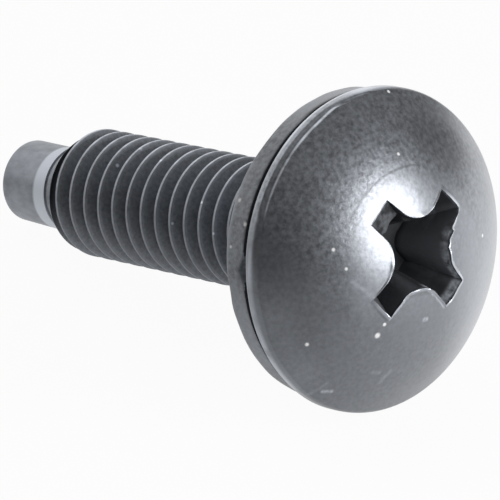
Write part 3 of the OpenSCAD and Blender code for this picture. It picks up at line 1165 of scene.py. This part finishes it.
def spots(tree, sizes):
    """A few small spots: the share is full in the middle of each and fades out at its radius."""
    place = own_place(tree)
    share = 0.0
    for spot, size in sizes.items():
        away = tree.vector("DISTANCE", "Value", place, spot)
        share = tree.math("MAXIMUM", share, spread(tree, away, 1.0, 0.0, 0.4 * size, size))
    return share


def scratches(tree, lines):
    """Short scratches from one end to the other, each with its own strength, broken up by fine grains."""
    place = own_place(tree)
    share = 0.0
    for start, end, most in lines:
        line = Vector(end) - Vector(start)
        from_start = tree.vector("SUBTRACT", 0, place, start)
        part = tree.vector("DOT_PRODUCT", "Value", from_start, line / line.length_squared)
        part = tree.add("ShaderNodeClamp", {0: part}).outputs[0]
        scaled = tree.add("ShaderNodeVectorMath", {0: line, "Scale": part}, operation="SCALE").outputs[0]
        away = tree.vector("DISTANCE", "Value", from_start, scaled)
        share = tree.math("MAXIMUM", share, spread(tree, away, most, 0.0, 0.2 * SCRATCH_W, SCRATCH_W))
    return tree.math("MULTIPLY", share, spread(tree, grain(tree, 0.11), 0.5, 1.3, 0.36, 0.64))


print("ring mark radius in mm:", RING_R)

# %% [markdown]
# ## The black satin finish
# The head is blackened, which leaves a dark skin with a dull metal shine, often under a thin film of oil.
# A metal shader with a coat gives that. Colours are laid over each other: the skin with its painted
# reflection and painted shade, then its marks and the dust, then bare steel and painted highlights on the
# edges.

# %% Finish of the head
HEAD_DUST = {
    (-1.37, -3.26, 1.99): 0.085,
    (-0.6, -3.0, 2.2): 0.08,
    (1.82, -4.5, 1.26): 0.095,
    (2.19, -2.11, 2.25): 0.14,
    (1.85, -1.84, 2.4): 0.09,
    (-3.64, 0.39, 1.93): 0.08,
    (-5.4, 1.52, 0.62): 0.085,
    (0.52, 3.66, 1.99): 0.09,
}
HEAD_SCRATCHES = [
    ((3.92, -3.79, 0.84), (4.01, -3.49, 0.97), 0.45),
    ((2.27, -0.1, 2.52), (2.3, 0.02, 2.5), 0.4),
    ((3.85, -1.35, 1.8), (4.22, -1.72, 1.51), 0.16),
    ((3.66, -2.1, 1.69), (3.78, -1.84, 1.72), 0.16),
    ((-0.11, -2.91, 2.26), (0.71, -2.18, 2.48), 0.14),
    ((3.96, -4.24, 0.53), (3.6, -3.73, 1.05), 0.12),
]
SKIN_DARK = grey(0.15)
SKIN_LIGHT = grey(0.36)
PLAIN_SKIN = grey(0.24)
# Colour of the painted reflection on the dome
SHEEN_SKIN = grey(0.48)
SHADED_SKIN = grey(0.03)
RING_DARK = grey(0.09)
SCRATCHED_STEEL = grey(0.85)
# Bare steel, also the colour of the painted highlights on the edges
BARE_STEEL_AND_SHEEN = grey(0.75)
PALE_DUST = (0.95, 0.95, 0.95)
HEAD_METAL = 0.92
HEAD_GRAIN = 0.17
HEAD_CLOUDS = 0.9
HEAD_ROUGHNESS = (0.32, 0.37)
HEAD_BUMP = 0.007


def dress_head():
    tree, skin = shader_tree(black_finish)
    fine = grain(tree, HEAD_GRAIN)
    uneven = kept(tree, "uneven")
    mottle = mottled(tree, fine, SKIN_DARK, SKIN_LIGHT)
    plain = blend_colours(tree, kept(tree, "rubbed"), PLAIN_SKIN, SHEEN_SKIN)
    colour = blend_colours(tree, uneven, plain, mottle)
    colour = blend_colours(tree, kept(tree, "shade"), colour, SHADED_SKIN)
    colour = blend_colours(tree, ring_mark(tree), colour, RING_DARK)
    colour = blend_colours(tree, scratches(tree, HEAD_SCRATCHES), colour, SCRATCHED_STEEL)
    dust = spots(tree, HEAD_DUST)
    colour = blend_colours(tree, dust, colour, PALE_DUST)
    colour = blend_colours(tree, kept(tree, "wear"), colour, BARE_STEEL_AND_SHEEN)
    metal = tree.math("MULTIPLY_ADD", dust, -HEAD_METAL, HEAD_METAL)
    roughness = spread(tree, grain(tree, HEAD_CLOUDS, 2.0), *HEAD_ROUGHNESS)
    wire(tree, skin, Base_Color=colour, Metallic=metal, Roughness=roughness)
    skin.inputs["Coat Weight"].default_value = 0.7
    skin.inputs["Coat Roughness"].default_value = 0.3
    shallow_bump(tree, skin, tree.math("MULTIPLY", fine, uneven), HEAD_BUMP)


dress_head()
print("dust grains on the head:", len(HEAD_DUST), "scratches:", len(HEAD_SCRATCHES))

# %% [markdown]
# The thread is a little duller than the head and has no coat. Its crests are bare in patches and carry
# painted light on the top side, its first groove and underside carry painted shade, and a few crests have
# bright nicks, as screws get from knocking against each other.

# %% Finish of the thread
THREAD_NICKS = {
    (-1.8, -1.16, -11.82): 0.09,
    (-2.31, -0.46, -11.2): 0.09,
    (-2.19, -0.86, -9.65): 0.08,
    (-0.51, -2.25, -7.83): 0.07,
    (-0.5, -2.33, -5.51): 0.07,
    (-1.41, -1.91, -6.41): 0.07,
}
THREAD_DARK = grey(0.215)
THREAD_LIGHT = grey(0.325)
# Bare crests, and painted light on the crests of the top side
CREST_BARE_AND_LIT = grey(0.62)
SHADED_THREAD = grey(0.035)
NICKED_STEEL = grey(0.85)
THREAD_GRAIN = 0.13
CREST_PATCH = 0.35
THREAD_BUMP = 0.005


def dress_thread():
    tree, skin = shader_tree(black_thread)
    fine = grain(tree, THREAD_GRAIN)
    patches = spread(tree, grain(tree, CREST_PATCH, 2.0), 0.5, 1.1)
    crest_light = tree.math("MULTIPLY", kept(tree, "wear"), patches)
    colour = mottled(tree, fine, THREAD_DARK, THREAD_LIGHT)
    colour = blend_colours(tree, crest_light, colour, CREST_BARE_AND_LIT)
    colour = blend_colours(tree, kept(tree, "shade"), colour, SHADED_THREAD)
    colour = blend_colours(tree, spots(tree, THREAD_NICKS), colour, NICKED_STEEL)
    wire(tree, skin, Base_Color=colour)
    skin.inputs["Metallic"].default_value = 0.9
    skin.inputs["Roughness"].default_value = 0.44
    shallow_bump(tree, skin, fine, THREAD_BUMP)


dress_thread()
print("nicks on the thread:", len(THREAD_NICKS))

# %% [markdown]
# The inside of the recess is painted matte and nearly black, a painted shade, because light hardly gets out
# again. Walls that face the light are painted a little paler, painted light, the torn wall shows flecks of
# grey steel, and the chipped shelf has a coarse broken grain.

# %% Finish of the recess
RECESS_FLOOR = grey(0.04)
FLOOR_FADE = 0.25
DARK_WALL = grey(0.035)
# Painted light on the walls that face the lamp
LIT_WALL = grey(0.15)
BROKEN_DARK = grey(0.03)
BROKEN_LIGHT = grey(0.15)
TORN_DARK = grey(0.1)
TORN_LIGHT = grey(0.6)
RECESS_GRAIN = 0.25
BROKEN_GRAIN = 0.42
RECESS_BUMP = 0.02


def dress_recess():
    tree, skin = shader_tree(black_recess)
    fine = grain(tree, RECESS_GRAIN)
    height = tree.add("ShaderNodeSeparateXYZ", {0: own_place(tree)}).outputs[2]
    above_floor = spread(tree, height, 0.0, 1.0, cross_floor_z, cross_floor_z + FLOOR_FADE)
    wall = blend_colours(tree, kept(tree, "uneven"), DARK_WALL, LIT_WALL)
    colour = blend_colours(tree, above_floor, RECESS_FLOOR, wall)
    broken = mottled(tree, grain(tree, BROKEN_GRAIN, 2.0), BROKEN_DARK, BROKEN_LIGHT, 0.42, 0.68)
    colour = blend_colours(tree, kept(tree, "wear"), colour, broken)
    torn = mottled(tree, fine, TORN_DARK, TORN_LIGHT)
    wire(tree, skin, Base_Color=blend_colours(tree, kept(tree, "rubbed"), colour, torn))
    skin.inputs["Roughness"].default_value = 0.7
    skin.inputs["Specular IOR Level"].default_value = 0.2
    shallow_bump(tree, skin, fine, RECESS_BUMP)


dress_recess()
print("recess floor at mm:", round(cross_floor_z, 2))

# %% [markdown]
# The pilot has lost most of its skin. It is a dull grey, with a grain that is stretched along the axis as
# wire drawing leaves it, and its collar is painted brighter, a painted highlight.

# %% Finish of the pilot
PILOT_DARK = grey(0.28)
PILOT_LIGHT = grey(0.39)
# Colour of the painted highlight on the collar
COLLAR_SHEEN = grey(0.64)
PILOT_GRAIN = 0.32
STREAK = 1.6
PILOT_BUMP = 0.004


def dress_pilot():
    tree, skin = shader_tree(bare_pilot)
    streak = grain(tree, PILOT_GRAIN, stretch=STREAK)
    dull = mottled(tree, streak, PILOT_DARK, PILOT_LIGHT)
    wire(tree, skin, Base_Color=blend_colours(tree, kept(tree, "wear"), dull, COLLAR_SHEEN))
    skin.inputs["Metallic"].default_value = 0.8
    skin.inputs["Roughness"].default_value = 0.45
    shallow_bump(tree, skin, streak, PILOT_BUMP)


dress_pilot()
print("pilot grain stretched by:", STREAK)

# %% [markdown]
# The washer is plastic, so its shader isn't a metal. It is mottled like the head but has no coat, and
# dust sticks to it.

# %% Finish of the washer
WASHER_DUST = {
    (-3.19, -4.55, -1.04): 0.1,
    (-2.52, -4.95, -0.46): 0.1,
    (-1.72, -5.29, -1.03): 0.08,
}
PLASTIC_DARK = grey(0.14)
PLASTIC_LIGHT = grey(0.37)
CLOUDED_PLASTIC = grey(0.34)
LIT_PLASTIC = grey(0.52)
SHADED_EDGE = grey(0.03)
SHADED_FACE = (0.04, 0.042, 0.045, 1)
DULL_DUST = (0.8, 0.8, 0.8)
PLASTIC_GRAIN = 0.18
PLASTIC_CLOUDS = 1.4
PLASTIC_BUMP = 0.006


def dress_washer():
    tree, skin = shader_tree(washer_plastic)
    fine = grain(tree, PLASTIC_GRAIN)
    clouds = spread(tree, grain(tree, PLASTIC_CLOUDS, 2.0), 0.0, 0.35)
    colour = mottled(tree, fine, PLASTIC_DARK, PLASTIC_LIGHT)
    colour = blend_colours(tree, clouds, colour, CLOUDED_PLASTIC)
    colour = blend_colours(tree, kept(tree, "wear"), colour, LIT_PLASTIC)
    colour = blend_colours(tree, kept(tree, "shade"), colour, SHADED_EDGE)
    colour = blend_colours(tree, spots(tree, WASHER_DUST), colour, DULL_DUST)
    wire(tree, skin, Base_Color=colour)
    skin.inputs["Roughness"].default_value = 0.33
    shallow_bump(tree, skin, fine, PLASTIC_BUMP)


def dress_shaded_plastic():
    skin = shader_tree(shaded_plastic)[1]
    skin.inputs["Base Color"].default_value = SHADED_FACE
    skin.inputs["Roughness"].default_value = 0.6


dress_washer()
dress_shaded_plastic()
print("finishes:", [material.name for material in bpy.data.materials])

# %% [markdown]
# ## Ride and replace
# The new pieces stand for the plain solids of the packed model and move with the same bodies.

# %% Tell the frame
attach(screw_body, "screw")
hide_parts("screw")
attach(washer_ring, "washer")
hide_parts("washer")
print("pieces told to the frame:", screw_body.name, washer_ring.name)

# %% [markdown]
# ## The floor
# The screw lies on a white table. To the camera the floor is nearly all plain white, and a small share of
# real shading keeps the screw's shadow. The shine of the steel sees the floor as white too, but dimmer
# towards the front, where a real table runs out of the light.

# %% Floor
FLOOR_SIZE = 1.6
FLOOR_SHADE = 0.05
FLOOR_COLOUR = (0.92, 0.92, 0.92, 1)
DIM_FRONT = 0.38
BRIGHT_AZIMUTH = 100
DIM_REACH = 10 * MM
BRIGHT_REACH = 6 * MM
WHITE = (1, 1, 1, 1)

piece_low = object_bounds()[0]
floor_mesh = bpy.data.meshes.new("floor")
half = FLOOR_SIZE / 2
corners = [(-half, -half), (half, -half), (half, half), (-half, half)]
floor_mesh.from_pydata([(x, y, piece_low.z) for x, y in corners], [], [(0, 1, 2, 3)])
floor = bpy.data.objects.new("floor", floor_mesh)
bpy.context.scene.collection.objects.link(floor)


def direction(azimuth, elevation):
    """Unit vector with its azimuth counted from +X towards +Y."""
    a = math.radians(azimuth)
    e = math.radians(elevation)
    return Vector((math.cos(e) * math.cos(a), math.cos(e) * math.sin(a), math.sin(e)))


def dress_floor():
    material = bpy.data.materials.new("white table")
    material.use_nodes = True
    material.node_tree.nodes.clear()
    tree = Tree(material.node_tree)
    rays = tree.add("ShaderNodeLightPath").outputs
    mirrored = tree.math("MAXIMUM", rays["Is Glossy Ray"], rays["Is Transmission Ray"])
    share_seen = tree.math("MULTIPLY", rays["Is Camera Ray"], 1 - FLOOR_SHADE)
    share = tree.math("MAXIMUM", share_seen, mirrored)
    place = tree.add("ShaderNodeTexCoord").outputs["Object"]
    from_bearing = tree.vector("SUBTRACT", 0, place, bearing)
    behind = tree.vector("DOT_PRODUCT", "Value", from_bearing, direction(BRIGHT_AZIMUTH, 0))
    graded = spread(tree, behind, DIM_FRONT, 1.0, -DIM_REACH, BRIGHT_REACH)
    strength = tree.math("MAXIMUM", graded, rays["Is Camera Ray"])
    matte = tree.add("ShaderNodeBsdfDiffuse", {"Color": FLOOR_COLOUR}).outputs[0]
    white = tree.add("ShaderNodeEmission", {"Color": WHITE, "Strength": strength}).outputs[0]
    mixed = tree.add("ShaderNodeMixShader", {0: share, 1: matte, 2: white}).outputs[0]
    tree.add("ShaderNodeOutputMaterial", {"Surface": mixed})
    return material


floor_mesh.materials.append(dress_floor())
print("floor at mm:", round(piece_low.z / MM, 3))

# %% [markdown]
# ## The light
# Dark shiny steel shows what is round it, so the room matters more than the lamp. The room is dim in
# front of the screw and pale above and beside it, and a white wall stands behind. One round soft lamp
# faces the head and gives the broad gleam on the dome.

# %% Light
DIM_ROOM = 0.1
PALE_ROOM = 0.29
PALE_WAY = (100, 40)
PALE_RANGE = (-0.3, 0.6)
WALL_GLOW = 0.75
WALL_WAY = (180, 10)
WALL_RANGE = (0.25, 0.8)
LAMP_WAY = (25, 14)
LAMP_DISTANCE = 150 * MM
LAMP_ACROSS = 88 * MM
LAMP_GLOW = 9.2


def dress_world():
    world = bpy.data.worlds.new("pale room")
    world.use_nodes = True
    bpy.context.scene.world = world
    tree = Tree(world.node_tree)
    ray_way = tree.add("ShaderNodeTexCoord").outputs["Generated"]

    def facing(way, low, high, start, stop):
        share = tree.vector("DOT_PRODUCT", "Value", ray_way, direction(*way))
        limits = {"Value": share, "From Min": start, "From Max": stop, "To Min": low, "To Max": high}
        return tree.add("ShaderNodeMapRange", limits, interpolation_type="SMOOTHSTEP").outputs["Result"]

    room = facing(PALE_WAY, DIM_ROOM, PALE_ROOM, *PALE_RANGE)
    wall = facing(WALL_WAY, 0.0, WALL_GLOW, *WALL_RANGE)
    sky = world.node_tree.nodes["Background"].inputs
    tree.tree.links.new(tree.math("ADD", room, wall), sky["Strength"])
    sky["Color"].default_value = WHITE


def front_lamp():
    """A round lamp that faces the head. Its glow is the brightness of its face, where 1 is white."""
    lamp = bpy.data.lights.new("front lamp", "AREA")
    lamp.shape = "DISK"
    lamp.size = LAMP_ACROSS
    lamp.energy = LAMP_GLOW * math.pi * math.pi * LAMP_ACROSS ** 2 / 4
    towards = direction(*LAMP_WAY)
    stand = bpy.data.objects.new("front lamp", lamp)
    stand.location = bearing + towards * LAMP_DISTANCE
    stand.rotation_euler = towards.to_track_quat("Z", "Y").to_euler()
    stand.visible_camera = False
    bpy.context.scene.collection.objects.link(stand)
    return lamp


dress_world()
print("lamp power in watts:", round(front_lamp().energy, 3))

# %% [markdown]
# ## The camera
# A long lens from some way off, as for a product picture, so that the near head and the far pilot keep
# nearly the same scale. The view transform is Standard, so that white stays white.

# %% Camera
VIEW_WAY = (-43.06, 28.6)
VIEW_DISTANCE = 196 * MM
VIEW_AIM = Vector((0.179, 1.336, 2.023)) * MM
VIEW_LENS = 386.3

towards = direction(*VIEW_WAY)
camera = bpy.data.objects.new("camera", bpy.data.cameras.new("camera"))
camera.data.lens = VIEW_LENS
camera.data.sensor_width = 36
camera.data.clip_start = 10 * MM
camera.location = VIEW_AIM + towards * VIEW_DISTANCE
camera.rotation_euler = towards.to_track_quat("Z", "Y").to_euler()
bpy.context.scene.collection.objects.link(camera)
bpy.context.scene.camera = camera
bpy.context.scene.view_settings.view_transform = "Standard"
print("camera at mm:", [round(v / MM, 1) for v in camera.location])

# %% [markdown]
